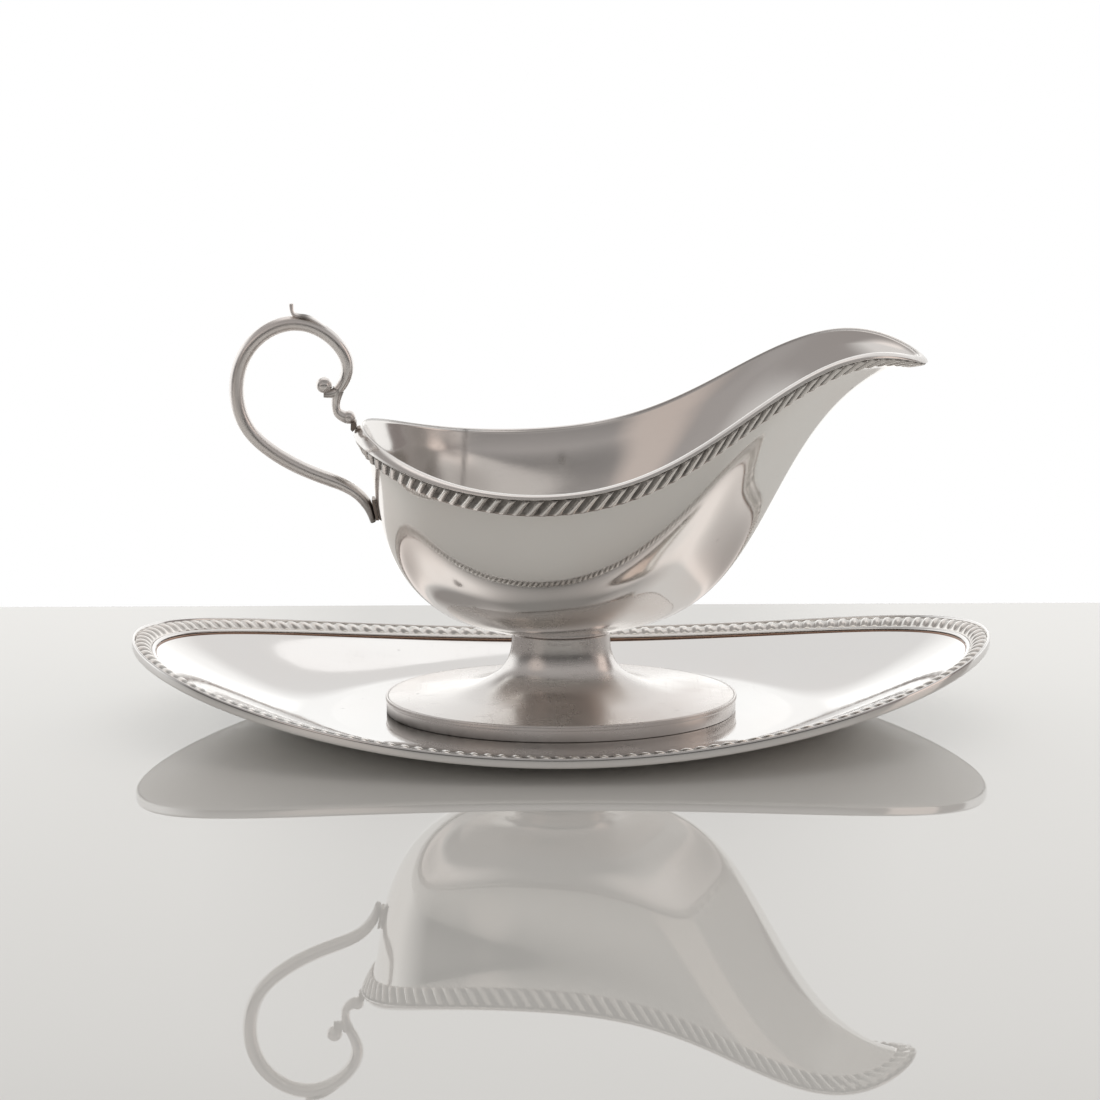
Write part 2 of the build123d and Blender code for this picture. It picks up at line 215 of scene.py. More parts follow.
def dish_top(angle, shares):
    floor = np.stack(
        [FLOOR_HALF_LENGTH * np.cos(angle), FLOOR_HALF_WIDTH * np.sin(angle), TRAY_SHEET + 0 * angle], -1
    )
    slope = tray_slope(angle)
    inset = BAND_THICK + SOLDER + TRAY_SHEET * slope / np.hypot(1, slope)
    drop = TRAY_ROPE_RISE + slope * (inset - BAND_THICK)
    edge = tray_edge(angle) - tray_outward(angle) * inset[:, None] - UP * drop[:, None]
    run = edge - floor
    run[:, 2] = 0
    fall = slope * np.linalg.norm(run, axis=1) * DISH_END
    return bezier([floor, floor + run * DISH_START, edge - run * DISH_END - UP * fall[:, None], edge], shares)


def lip_inner(angle):
    x = sum(c * np.cos(k * angle) for k, c in enumerate(LIP_X))
    y = sum(c * np.sin(k * angle) for k, c in enumerate(LIP_Y))
    z = sum(c * np.cos(k * angle) for k, c in enumerate(LIP_Z))
    return np.stack([x, y, z], -1)


def lip_outward(angle):
    along_x = sum(-k * c * np.sin(k * angle) for k, c in enumerate(LIP_X))
    along_y = sum(k * c * np.cos(k * angle) for k, c in enumerate(LIP_Y))
    across = np.stack([along_y, -along_x, 0 * angle], -1)
    return across / np.linalg.norm(across, axis=-1, keepdims=True)


def lip_droop(angle):
    end = np.where(np.cos(angle) > 0, LIP_DROOP_SPOUT, LIP_DROOP_BACK)
    return LIP_DROOP_SIDE + (end - LIP_DROOP_SIDE) * np.cos(angle) ** 6


def lip_outer(angle):
    return lip_inner(angle) + lip_outward(angle) * LIP_WIDTH - UP * lip_droop(angle)[:, None]


def strip_lean(angle):
    spout = ((1 + np.cos(angle)) / 2) ** 8
    back = ((1 - np.cos(angle)) / 2) ** 4
    lean = STRIP_LEAN_SIDE
    lean = lean + (STRIP_LEAN_SPOUT - STRIP_LEAN_SIDE) * spout
    lean = lean + (STRIP_LEAN_BACK - STRIP_LEAN_SIDE) * back
    return np.radians(lean)


def under_lip(angle, inset):
    return lip_droop(angle) * inset / LIP_WIDTH - LIP_THICK


def strip_foot(angle, thickness):
    lean = strip_lean(angle)
    outward = -STRIP_INSET - STRIP_DEPTH * np.sin(lean) - thickness * np.cos(lean)
    up = under_lip(angle, STRIP_INSET) - STRIP_DEPTH * np.cos(lean) + thickness * np.sin(lean)
    return outward, up


def from_lip(angle, outward, up):
    return lip_outer(angle) + lip_outward(angle) * np.reshape(outward, (-1, 1)) + UP * np.reshape(up, (-1, 1))


def bowl_wall(angle, shares):
    """Outside of the bowl from its base to under the lip: shares 0 to 1 up to the rope strip, then to 2."""
    base_x = BASE_HALF_LENGTH * np.cos(angle)
    base_y = BASE_HALF_LENGTH * np.sin(angle) * OVAL
    base = np.stack([base_x, base_y, BASE_Z + 0 * angle], -1)
    foot = from_lip(angle, *strip_foot(angle, STRIP_FOOT_THICK + SOLDER))
    inset = STRIP_INSET + STRIP_TOP_THICK + SOLDER
    rise = under_lip(angle, inset) - SOLDER - WALL * np.sin(strip_lean(angle))
    top = from_lip(angle, np.full_like(angle, -inset), rise)
    spout = (((1 + np.cos(angle)) / 2) ** 2)[:, None]
    level, shoulder, height, lead = (b + (s - b) * spout for b, s in zip(SECTION_BACK, SECTION_SPOUT))
    run = foot - base
    climb = run * UP
    run = run - climb
    along = (top - foot) / np.linalg.norm(top - foot, axis=1, keepdims=True)
    controls = [base, base + run * level, base + run * shoulder + climb * height, foot - along * lead, foot]
    wall = bezier(controls, shares[shares <= 1])
    flare = shares[shares > 1] - 1
    return np.concatenate([wall, foot[:, None] + (top - foot)[:, None] * flare[None, :, None]], 1)


def spline(points, count):
    """Even points on the natural cubic spline through these points."""
    p = np.array(points, float)
    knots = np.concatenate([[0], np.cumsum(np.linalg.norm(np.diff(p, axis=0), axis=1))])
    step = np.diff(knots)
    last = len(p) - 1
    system = np.eye(last + 1)
    pull = np.zeros_like(p)
    for i in range(1, last):
        system[i, i - 1 : i + 2] = step[i - 1], 2 * (step[i - 1] + step[i]), step[i]
        pull[i] = 6 * ((p[i + 1] - p[i]) / step[i] - (p[i] - p[i - 1]) / step[i - 1])
    bend = np.linalg.solve(system, pull)
    t = np.linspace(0, knots[-1], count)
    k = np.clip(np.searchsorted(knots, t, side="right") - 1, 0, last - 1)
    h = step[k][:, None]
    u = (t - knots[k])[:, None]
    w = h - u
    cubic = (bend[k] * w**3 + bend[k + 1] * u**3) / (6 * h)
    return cubic + (p[k] / h - bend[k] * h / 6) * w + (p[k + 1] / h - bend[k + 1] * h / 6) * u


def even_angles(curve, pitch):
    """Angles evenly spaced along a closed curve, COLUMNS_PER_LOBE to each of a whole number of lobes."""
    fine = np.linspace(0, 2 * pi, 6001)
    steps = np.linalg.norm(np.diff(curve(fine), axis=0), axis=1)
    travelled = np.concatenate([[0], np.cumsum(steps)])
    lobes = round(travelled[-1] / pitch)
    stops = np.linspace(0, travelled[-1], lobes * COLUMNS_PER_LOBE, endpoint=False)
    return np.interp(stops, travelled, fine)


def round_angles(count):
    return np.linspace(0, 2 * pi, count, endpoint=False)


def rope_lobes(count, across, slant, share):
    """1 on the crest of a rope lobe and 0 in the hollow between two, for count places along the border."""
    travel = (np.arange(count) / COLUMNS_PER_LOBE)[:, None]
    phase = (travel + slant * across) % 1.0
    return np.sin(pi * np.clip(phase / share, 0, 1)) ** LOBE_ROUNDNESS


# ---------------------------------------------------------------- meshes
def make_piece(name, grid, body, material, wrap=(True, True), caps=False, marks=None):
    """Smooth mesh over a grid of points in mm; caps closes the two ends that don't wrap."""
    rows, columns, _ = grid.shape
    index = np.arange(rows * columns).reshape(rows, columns)
    below = np.roll(index, -1, 0)
    quads = np.stack([index, below, np.roll(below, -1, 1), np.roll(index, -1, 1)], -1)
    if not wrap[0]:
        quads = quads[:-1]
    if not wrap[1]:
        quads = quads[:, :-1]
    faces = quads.reshape(-1, 4).tolist()
    if caps and not wrap[0]:
        faces += [index[0].tolist(), index[-1].tolist()]
    if caps and not wrap[1]:
        faces += [index[:, 0].tolist(), index[:, -1].tolist()]
    mesh = bpy.data.meshes.new(name)
    mesh.from_pydata((grid.reshape(-1, 3) * MM).tolist(), [], faces)
    for mark, values in (marks or {}).items():
        layer = mesh.attributes.new(mark, "FLOAT", "POINT")
        layer.data.foreach_set("value", np.broadcast_to(values, (rows, columns)).astype(np.float32).ravel())
    shell = bmesh.new()
    shell.from_mesh(mesh)
    bmesh.ops.recalc_face_normals(shell, faces=shell.faces)
    shell.to_mesh(mesh)
    shell.free()
    mesh.polygons.foreach_set("use_smooth", [True] * len(mesh.polygons))
    mesh.materials.append(material)
    piece = bpy.data.objects.new(name, mesh)
    bpy.context.scene.collection.objects.link(piece)
    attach(piece, body)
    return piece


def section_points(edge, outward, out, up):
    """Points (angle, column) of sections drawn out and up from each point of a closed edge."""
    return edge[:, None] + outward[:, None] * out[..., None] + UP * up[..., None]


def along_tray(angle, out, up):
    return section_points(tray_edge(angle), tray_outward(angle), out, up)


def along_lip(angle, out, up):
    return section_points(lip_outer(angle), lip_outward(angle), out, up)


def sheet_normals(grid):
    """Unit normals of a grid whose rows close on themselves."""
    round_way = np.roll(grid, -1, 0) - np.roll(grid, 1, 0)
    up_way = np.gradient(grid, axis=1)
    normals = np.cross(round_way, up_way)
    return normals / np.linalg.norm(normals, axis=-1, keepdims=True)


def lathe(profile, angle):
    """Oval turning of a closed (radius, height) outline."""
    outline = np.array(profile, float)
    radius, height = outline[:, 0], outline[:, 1]
    x = np.cos(angle)[:, None] * radius
    y = np.sin(angle)[:, None] * radius * OVAL
    return np.stack([x, y, np.broadcast_to(height, x.shape)], -1)


def soften(outline, cut, rounds):
    """Closed outline with its corners cut back, a share of each side at a time."""
    points = np.array(outline, float)
    for _ in range(rounds):
        following = np.roll(points, -1, 0)
        near = points + (following - points) * cut
        far = following - (following - points) * cut
        points = np.stack([near, far], 1).reshape(-1, points.shape[1])
        cut = 0.25
    return points


def sweep(path, section, half_width, half_thick):
    """Section (across, thick) carried along a path in the XZ plane."""
    tangent = np.gradient(path, axis=0)
    tangent /= np.linalg.norm(tangent, axis=1, keepdims=True)
    normal = np.stack([-tangent[:, 1], tangent[:, 0]], -1)
    offset = section[None, :, 1] * np.reshape(half_thick, (-1, 1))
    x = path[:, 0:1] + normal[:, 0:1] * offset
    z = path[:, 1:2] + normal[:, 1:2] * offset
    y = section[None, :, 0] * np.reshape(half_width, (-1, 1)) + 0 * x
    return np.stack([x, y, z], -1)


# ---------------------------------------------------------------- materials
def node(tree, kind, inputs=None, **settings):
    made = tree.nodes.new(kind)
    for key, value in settings.items():
        setattr(made, key, value)
    for key, value in (inputs or {}).items():
        if isinstance(value, bpy.types.NodeSocket):
            tree.links.new(value, made.inputs[key])
        else:
            made.inputs[key].default_value = value
    return made


def remap(tree, value, low, high, to_low=0.0, to_high=1.0):
    inputs = {"Value": value, "From Min": low, "From Max": high, "To Min": to_low, "To Max": to_high}
    return node(tree, "ShaderNodeMapRange", inputs).outputs["Result"]


def blend_colour(tree, share, first, second):
    return node(tree, "ShaderNodeMix", {"Factor": share, 6: first, 7: second}, data_type="RGBA").outputs[2]


def arithmetic(tree, operation, first, second):
    return node(tree, "ShaderNodeMath", {0: first, 1: second}, operation=operation, use_clamp=True).outputs[0]


def noise(tree, vector, scale, detail=3.0):
    inputs = {"Vector": vector, "Scale": scale, "Detail": detail}
    return node(tree, "ShaderNodeTexNoise", inputs).outputs["Fac"]


def bump(tree, strength, distance, height, normal=None):
    inputs = {"Strength": strength, "Distance": distance, "Height": height}
    if normal is not None:
        inputs["Normal"] = normal
    return node(tree, "ShaderNodeBump", inputs).outputs[0]


TARNISH = (0.16, 0.15, 0.14, 1)
WORN_INSIDE = (0.72, 0.69, 0.67, 1)
OXIDE_AND_SHADE = (0.13, 0.12, 0.11, 1)
SOLDER_BROWN = (0.30, 0.19, 0.14, 1)


def silver(name, tone, rough=0.07, warmth=0.35, scratches=0.5, tarnish=0.5):
    """Plated silver with warm patches, hairline scratches and tarnish spots.

    Marks on the mesh add to it: inside (greyer, finely brushed), recess (dark oxide, also used for painted
    shade), matte and solder (brown).
    """
    material = bpy.data.materials.new(name)
    material.use_nodes = True
    tree = material.node_tree
    metal = tree.nodes["Principled BSDF"]
    place = node(tree, "ShaderNodeTexCoord").outputs["Object"]
    inside, recess, matte, solder = (
        node(tree, "ShaderNodeAttribute", attribute_name=mark).outputs["Fac"]
        for mark in ("inside", "recess", "matte", "solder")
    )

    patches = remap(tree, noise(tree, place, 22.0), 0.42, 0.68, 0.0, warmth)
    colour = blend_colour(tree, patches, (*tone, 1), (tone[0] * 0.97, tone[1] * 0.90, tone[2] * 0.87, 1))

    streaks = []
    for turn, stretch in ((0.5, (25, 900, 900)), (1.9, (1100, 40, 700)), (-0.7, (60, 800, 1300))):
        placing = {"Vector": place, "Rotation": (turn, turn / 2, turn), "Scale": stretch}
        turned = node(tree, "ShaderNodeMapping", placing).outputs[0]
        streaks.append(remap(tree, noise(tree, turned, 1.0, 2.0), 0.6, 0.8))
    hairlines = arithmetic(tree, "ADD", arithmetic(tree, "ADD", streaks[0], streaks[1]), streaks[2])

    cells = node(tree, "ShaderNodeTexVoronoi", {"Vector": place, "Scale": 95.0})
    speck = remap(tree, cells.outputs["Distance"], 0.03, 0.09, 1.0, 0.0)
    sparse = remap(tree, noise(tree, place, 60.0), 0.56, 0.64)
    spots = arithmetic(tree, "MULTIPLY", arithmetic(tree, "MULTIPLY", speck, sparse), tarnish)
    # The recess mark blends in dark oxide colour: real oxide on some pieces, painted shade on others.
    oxide_and_shade_share = arithmetic(tree, "MULTIPLY", recess, remap(tree, noise(tree, place, 300.0), 0.3, 0.7, 0.75, 1.0))
    greyed = arithmetic(tree, "MULTIPLY", inside, 0.6)
    for share, stain in ((spots, TARNISH), (greyed, WORN_INSIDE), (oxide_and_shade_share, OXIDE_AND_SHADE), (solder, SOLDER_BROWN)):
        colour = blend_colour(tree, share, colour, stain)

    roughness = remap(tree, noise(tree, place, 45.0, 4.0), 0.35, 0.75, rough * 0.8, rough * 1.5)
    for cause, share in ((hairlines, 0.10 * scratches), (inside, 0.06), (recess, 0.30), (matte, 0.40)):
        roughness = arithmetic(tree, "ADD", roughness, arithmetic(tree, "MULTIPLY", cause, share))

    brushed = node(tree, "ShaderNodeMapping", {"Vector": place, "Scale": (60, 60, 2600)}).outputs[0]
    brushing = arithmetic(tree, "MULTIPLY", inside, 0.4)
    grain = arithmetic(tree, "MULTIPLY", noise(tree, brushed, 1.0, 2.0), brushing)
    relief = arithmetic(tree, "ADD", arithmetic(tree, "MULTIPLY", hairlines, 0.5), grain)
    normal = bump(tree, 0.035, 0.0008, noise(tree, place, 90.0, 1.0))
    normal = bump(tree, 0.12 * scratches, 0.00003, relief, normal)

    for socket, source in (("Base Color", colour), ("Roughness", roughness), ("Normal", normal)):
        tree.links.new(source, metal.inputs[socket])
    metal.inputs["Metallic"].default_value = 1.0
    return material


def towards(tree, direction, aim):
    """Cosine of the angle between a direction and a fixed aim."""
    aim = tuple(Vector(aim).normalized())
    unit = node(tree, "ShaderNodeVectorMath", {0: direction}, operation="NORMALIZE").outputs[0]
    return node(tree, "ShaderNodeVectorMath", {0: unit, 1: aim}, operation="DOT_PRODUCT").outputs["Value"]


def glass_table():
    """Pale glossy slab with painted light: a little brighter towards the back and the right."""
    material = bpy.data.materials.new("glossy_table")
    material.use_nodes = True
    tree = material.node_tree
    slab = tree.nodes["Principled BSDF"]
    place = node(tree, "ShaderNodeTexCoord").outputs["Object"]
    axes = node(tree, "ShaderNodeSeparateXYZ", {0: place}).outputs
    # Painted light: the colour brightens towards the back and the right.
    painted_light_back = remap(tree, axes["Y"], -0.45, 0.12)
    tone = blend_colour(tree, painted_light_back, (0.84, 0.84, 0.81, 1), (0.92, 0.92, 0.89, 1))
    painted_light_right = remap(tree, axes["X"], -0.15, 0.15, 0.0, 0.5)
    tone = blend_colour(tree, painted_light_right, tone, (0.97, 0.97, 0.94, 1))
    cloud = remap(tree, noise(tree, place, 6.0), 0.3, 0.7, 0.0, 0.06)
    tree.links.new(blend_colour(tree, cloud, tone, (0.8, 0.8, 0.78, 1)), slab.inputs["Base Color"])
    tree.links.new(remap(tree, noise(tree, place, 35.0), 0.3, 0.7, 0.004, 0.010), slab.inputs["Roughness"])
    slab.inputs["IOR"].default_value = 2.4
    return material


POLISHED = silver("polished_silver_plate", (0.81, 0.80, 0.79), warmth=0.2)
BOWL = silver("bowl_silver", (0.84, 0.825, 0.80), warmth=0.5, scratches=0.6, tarnish=0.7)
LIP = silver("worn_lip_silver", (0.83, 0.81, 0.79), rough=0.15, scratches=1.0, tarnish=0.4)
FOOT = silver("brushed_foot_silver", (0.81, 0.785, 0.765), rough=0.24, warmth=0.5, scratches=1.0, tarnish=0.8)
ROPE = silver("oxidised_rope_silver", (0.86, 0.84, 0.81), rough=0.14, scratches=0.9, tarnish=0.3)
CAST = silver("cast_silver", (0.90, 0.87, 0.85), rough=0.26, warmth=0.4, scratches=0.8)
GRIMY = silver(
    "tarnished_joint_silver", (0.30, 0.26, 0.23), rough=0.30, warmth=1.0, scratches=1.0, tarnish=1.0
)


# ---------------------------------------------------------------- tray
def build_tray_dish():
    angle = round_angles(360)
    top = dish_top(angle, np.linspace(0, 1, 56))
    under = top - sheet_normals(top) * TRAY_SHEET * np.sign(sheet_normals(top)[..., 2:3])
    rings = np.array([0.03, 0.3, 0.6, 0.85])[:, None]
    outline = top[:, :1] * (1 - UP)
    floor = outline * rings + UP * TRAY_SHEET
    base = outline * rings[::-1]
    grid = np.concatenate([floor, top, under[:, ::-1], base], 1)
    matte = np.zeros((1, grid.shape[1]))
    matte[:, len(rings) + top.shape[1] :] = 1
    marks = {"matte": matte}
    piece = make_piece("tray_dish_sheet", grid, "tray", POLISHED, (True, False), True, marks)
    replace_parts(piece, "tray_dish")


def build_tray_wall():
    angle = round_angles(480)
    outline = [(0, 0), (0, -BAND_DEPTH), (-BAND_THICK, -BAND_DEPTH), (-BAND_THICK, 0)]
    out, up = soften(outline, 0.22, 3).T[:, None]
    piece = make_piece("tray_outer_wall", along_tray(angle, out, up), "tray", POLISHED)
    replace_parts(piece, "tray_rim_band")


def build_tray_rope():
    """Slanting lobes on the tray's edge, with oxide in the hollows and painted shade making the near side's
    hollows darker.
    """
    angle = even_angles(tray_edge, TRAY_PITCH)
    across = np.linspace(0, 1, 17)[None, :]
    from_middle = np.abs(2 * across - 1)
    lobe = rope_lobes(len(angle), across, TRAY_SLANT, TRAY_LOBE_SHARE)
    slope = tray_slope(angle)[:, None]
    outer = -BAND_THICK - SOLDER
    width = across * TRAY_ROPE_WIDTH
    hollow = TRAY_HOLLOW * (1 - lobe) * np.sqrt(np.clip(1 - from_middle**4, 0, 1))
    up = TRAY_CREST - TRAY_CREST_FALL * from_middle**2.4 - hollow - width * slope
    floor_width = np.array([[1.0, 0.0]]) * TRAY_ROPE_WIDTH
    floor_up = SOLDER - TRAY_ROPE_RISE - floor_width * slope
    out = outer - np.concatenate([width, floor_width], 1)
    grid = along_tray(angle, out, np.concatenate([up, floor_up], 1))
    # Painted shade: the rope's hollows darken towards the near side, on top of their oxide.
    near = (1 - np.sin(angle)[:, None]) / 2
    oxide_and_shade_share = TRAY_OXIDE_AND_SHADE_FAR + (TRAY_OXIDE_AND_SHADE_NEAR - TRAY_OXIDE_AND_SHADE_FAR) * near
    oxide_and_shade_share = oxide_and_shade_share * np.clip(5 * (1 - from_middle), 0, 1) * (1 - lobe)
    recess = np.concatenate([oxide_and_shade_share, np.ones_like(floor_up)], 1)
    piece = make_piece("tray_rope", grid, "tray", ROPE, marks={"recess": recess})
    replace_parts(piece, "tray_rope_border")


def build_tray_rail():
    """Narrow rail inside the rope and the brown solder line along it, both almost flush on the near side."""
    angle = round_angles(480)
    turn = round_angles(16)[None, :]
    slope = tray_slope(angle)[:, None]
    proud = np.clip(0.6 + 1.6 * np.sin(angle), 0.1, 1)[:, None]
    inner = -BAND_THICK - SOLDER - TRAY_ROPE_WIDTH
    seat = SOLDER - TRAY_ROPE_RISE
    out = inner - TRAY_RAIL_WIDTH / 2 * (1 - np.cos(turn))
    up = seat + TRAY_RAIL_RISE / 2 * (1 + np.sin(turn)) * proud
    grid = along_tray(angle, out, up + (out + BAND_THICK) * slope)
    make_piece("tray_inner_rail", grid, "tray", POLISHED)
    out = inner - TRAY_RAIL_WIDTH - SOLDER_BEAD_OUT * (1 - np.cos(turn)) * proud
    up = seat - SOLDER_BEAD_SINK + SOLDER_BEAD_UP * np.sin(turn) * proud
    grid = along_tray(angle, out, up + (out + BAND_THICK) * slope)
    make_piece("tray_solder_line", grid, "tray", ROPE, marks={"solder": np.ones((1, 1))})


# ---------------------------------------------------------------- boat
def wall_marks(grid):
    """The dark stain and the thin dark seam high on the bowl's far wall."""
    x, y, z = np.moveaxis(grid, -1, 0)
    stain = ((x - STAIN_X) / STAIN_HALF_WIDTH) ** 2 + ((z - STAIN_Z) / STAIN_HALF_HEIGHT) ** 2
    seam = ((x - SEAM_X - SEAM_LEAN * (z - STAIN_Z)) / SEAM_HALF_WIDTH) ** 2
    faded = np.clip((z - SEAM_LOW_Z) / SEAM_FADE, 0, 1)
    return np.maximum(STAIN_DEPTH * np.exp(-stain), SEAM_DEPTH * np.exp(-seam) * faded) * (y > 0)


def build_bowl():
    angle = round_angles(420)
    shares = np.concatenate([np.linspace(0, 1, 64), np.linspace(1, 2, 7)[1:]])
    outside = bowl_wall(angle, shares)
    normal = sheet_normals(outside)
    side = np.sign(np.sum(normal[:, -1] * lip_outward(angle), axis=-1))
    inner = outside - normal * WALL * side[:, None, None]
    inset = LIP_WIDTH + WALL_TUCK
    rim = from_lip(angle, np.full_like(angle, -inset), under_lip(angle, inset) + WALL_TOP_SHARE * LIP_THICK)
    ease = np.clip((shares - WALL_EASE_FROM) / (2 - WALL_EASE_FROM), 0, 1)[:, None] ** 2
    inner = inner + (rim - inner[:, -1])[:, None] * ease
    rings = np.array([0.05, 0.5, 0.8])[:, None]
    outline = outside[:, :1] * (1 - UP)
    under = outline * rings + UP * BASE_Z
    floor = outline * rings[::-1] + UP * (BASE_Z + WALL)
    grid = np.concatenate([under, outside, inner[:, ::-1], floor], 1)
    inside = np.zeros((1, grid.shape[1]))
    inside[:, -(len(shares) + len(rings)) :] = 1
    marks = {"inside": inside, "recess": wall_marks(grid) * inside}
    piece = make_piece("bowl_shell", grid, "boat", BOWL, (True, False), True, marks)
    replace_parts(piece, "bowl")


def build_lip():
    """Rounded lip, dulled at the tip of the spout."""
    angle = round_angles(720)
    turn = round_angles(28)[None, :]
    out = LIP_WIDTH / 2 * (np.sign(np.cos(turn)) * np.abs(np.cos(turn)) ** LIP_SQUARENESS - 1)
    droop = -out * lip_droop(angle)[:, None] / LIP_WIDTH
    crown = LIP_CROWN * np.clip(np.sin(turn), 0, 1)
    up = droop + LIP_THICK / 2 * (np.sin(turn) - 1) + crown
    dulled = LIP_DULL * np.clip((np.cos(angle) - LIP_DULL_FROM) / 0.05, 0, 1)
    grid = along_lip(angle, out, up)
    marks = {"recess": dulled[:, None]}
    piece = make_piece("rim_rounded_lip", grid, "boat", LIP, marks=marks)
    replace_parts(piece, "rim_lip")


def build_rim_rope():
    """Slanting lobes under the lip: oxide in the hollows, painted shade in a band just below the lip, solder
    along the lower edge.
    """
    angle = even_angles(lip_outer, RIM_PITCH)
    across = np.linspace(0, 1, 19)[None, :]
    lobe = rope_lobes(len(angle), across, RIM_SLANT, RIM_LOBE_SHARE)
    ends = np.sqrt(np.clip(1 - np.abs(2 * across - 1) ** 5, 0, 1))
    lean = strip_lean(angle)[:, None]
    hollow = STRIP_HOLLOW_FOOT + (STRIP_HOLLOW_TOP - STRIP_HOLLOW_FOOT) * (1 - across)
    stand = STRIP_LOBE_STAND * ends * lobe - hollow * (1 - lobe)
    down = across * STRIP_DEPTH
    out = -STRIP_INSET - down * np.sin(lean) + stand * np.cos(lean)
    top = under_lip(angle, STRIP_INSET)[:, None] - SOLDER
    up = top - down * np.cos(lean) - stand * np.sin(lean)
    foot_out, foot_up = strip_foot(angle, STRIP_FOOT_THICK)
    inner_top = STRIP_INSET + STRIP_TOP_THICK
    back_out = np.stack([foot_out, np.full_like(angle, -inner_top)], 1)
    back_up = np.stack([foot_up, under_lip(angle, inner_top) - SOLDER], 1)
    grid = along_lip(angle, np.concatenate([out, back_out], 1), np.concatenate([up, back_up], 1))
    edge = np.clip((across - 0.93) / 0.05, 0, 1) + 0 * lobe
    # Painted shade: the top of the strip darkens under the overhanging lip.
    shade = np.clip(1 - across / 0.12, 0, 1)
    recess = np.clip(np.clip(1 - 1.5 * lobe, 0, 1) + shade, 0, 1) * (1 - edge)
    marks = {
        "recess": np.concatenate([recess, np.ones_like(back_out)], 1),
        "solder": np.concatenate([edge * 0.8, np.zeros_like(back_out)], 1),
    }
    piece = make_piece("rim_rope", grid, "boat", ROPE, marks=marks)
    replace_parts(piece, "rim_rope_border")


def build_foot_band():
    """Upright band with a rounded upper edge and a painted shadow along its bottom, deepest towards the
    handle.
    """
    angle = round_angles(360)
    low, high = FOOT_LOW[2], FOOT_HIGH[2]
    inner = FOOT_RADIUS - FOOT_BAND
    face = FOOT_RADIUS - FOOT_ROUND_OUT
    edge = [
        (face + FOOT_ROUND_OUT * sin(t), high - FOOT_ROUND_UP * (1 + cos(t)))
        for t in np.linspace(0.15, pi - 0.15, 9)
    ]
    bottom = [(inner, low), (face - 0.25, low), (face, low + 0.25)]
    band = [*bottom, (face, high - 1.5), *edge, (inner, high)]
    lowest = np.arange(len(band))[None, :] < len(bottom)
    # Painted shadow: a dark line along the band's bottom edge, thickest on the handle side.
    recess = np.clip(0.45 - 0.55 * np.cos(angle)[:, None], 0, 1) * lowest
    grid = lathe(band, angle)
    piece = make_piece("foot_band_beaded", grid, "boat", FOOT, marks={"recess": recess})
    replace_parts(piece, "foot_edge_band")


def build_foot_trumpet():
    skirt = (FOOT_RADIUS - FOOT_ROUND_OUT - 0.3, FOOT_HIGH[2] + 0.02)
    outside = spline([skirt, *PEDESTAL_PROFILE, (NECK_RADIUS, NECK_TOP_Z)], 90)
    profile = np.concatenate([outside, outside[::-1] - PEDESTAL_SHEET])
    inward = np.arange(len(profile))[None, :] >= len(outside)
    grid = lathe(profile, round_angles(360))
    piece = make_piece("foot_trumpet", grid, "boat", FOOT, marks={"inside": inward})
    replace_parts(piece, "foot_pedestal")


def build_neck_ring():
    low, high = (corner[2] for corner in box_mm("neck_collar"))
    middle = (low + high) / 2
    reach = (high - low) / 2
    ring = [(NECK_RADIUS + COLLAR_BULGE * sin(t), middle - reach * cos(t)) for t in np.linspace(0, pi, 15)]
    ring += [(NECK_RADIUS - PEDESTAL_SHEET, high), (NECK_RADIUS - PEDESTAL_SHEET, low)]
    piece = make_piece("neck_ring", lathe(ring, round_angles(360)), "boat", FOOT)
    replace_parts(piece, "neck_collar")


def make_casting(name, grid, dark, wrap=(False, True)):
    """One cast part of the handle, with its dark stretches."""
    return make_piece(name, grid, "boat", CAST, wrap, True, {"recess": dark})


def build_handle_bar():
    path = spline(BAR_PATH, 260)
    share = np.linspace(0, 1, len(path))
    thick = np.interp(share, *zip(*BAR_TAPER))
    outline = [(1, 0), (BAR_FLANK, 1), (-BAR_FLANK, 1), (-1, 0), (-BAR_FLANK, -1), (BAR_FLANK, -1)]
    section = soften(outline, 0.3, 3) * BAR_FULLNESS
    narrowing = np.clip(1.0 - 0.25 * (share - 0.85) / 0.15, 0, 1)
    grid = sweep(path, section, BAR_WIDTH / 2 * narrowing, thick / 2)
    dark = np.clip(1 - share / 0.09, 0, 1) * 0.8 + np.clip((share - 0.96) / 0.04, 0, 1) * 0.6
    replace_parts(make_casting("handle_bar", grid, dark[:, None]), "scroll_handle")


def build_handle_stem():
    path = spline(STEM_PATH, 60)
    share = np.linspace(0, 1, len(path))
    turn = round_angles(24)
    thick = 1.45 + 0.2 * np.cos(2 * pi * share)
    grid = sweep(path, np.stack([np.cos(turn), np.sin(turn)], -1), thick * 1.15, thick)
    dark = np.clip(1 - share / 0.3, 0, 1) * 0.7 + np.clip((share - 0.85) / 0.15, 0, 1) * 0.5
    make_casting("handle_stem", grid, dark[:, None])


def build_handle_knob(name, centre, radius, half_width):
    """Rounded disc across the handle, with a shallow ring cut in each face."""
    roll = np.linspace(0, pi, 41)[None, 1:-1]
    spin = round_angles(48)[:, None]
    reach = radius * np.sin(roll) ** 0.8
    groove = np.exp(-(((reach / radius - 0.62) / 0.09) ** 2))
    x = centre[0] + reach * np.cos(spin)
    z = centre[1] + reach * np.sin(spin)
    y = -half_width * np.cos(roll) * (1 - 0.07 * groove)
    make_casting(name, np.stack([x, y + 0 * x, z], -1), groove * 0.3, (True, False))


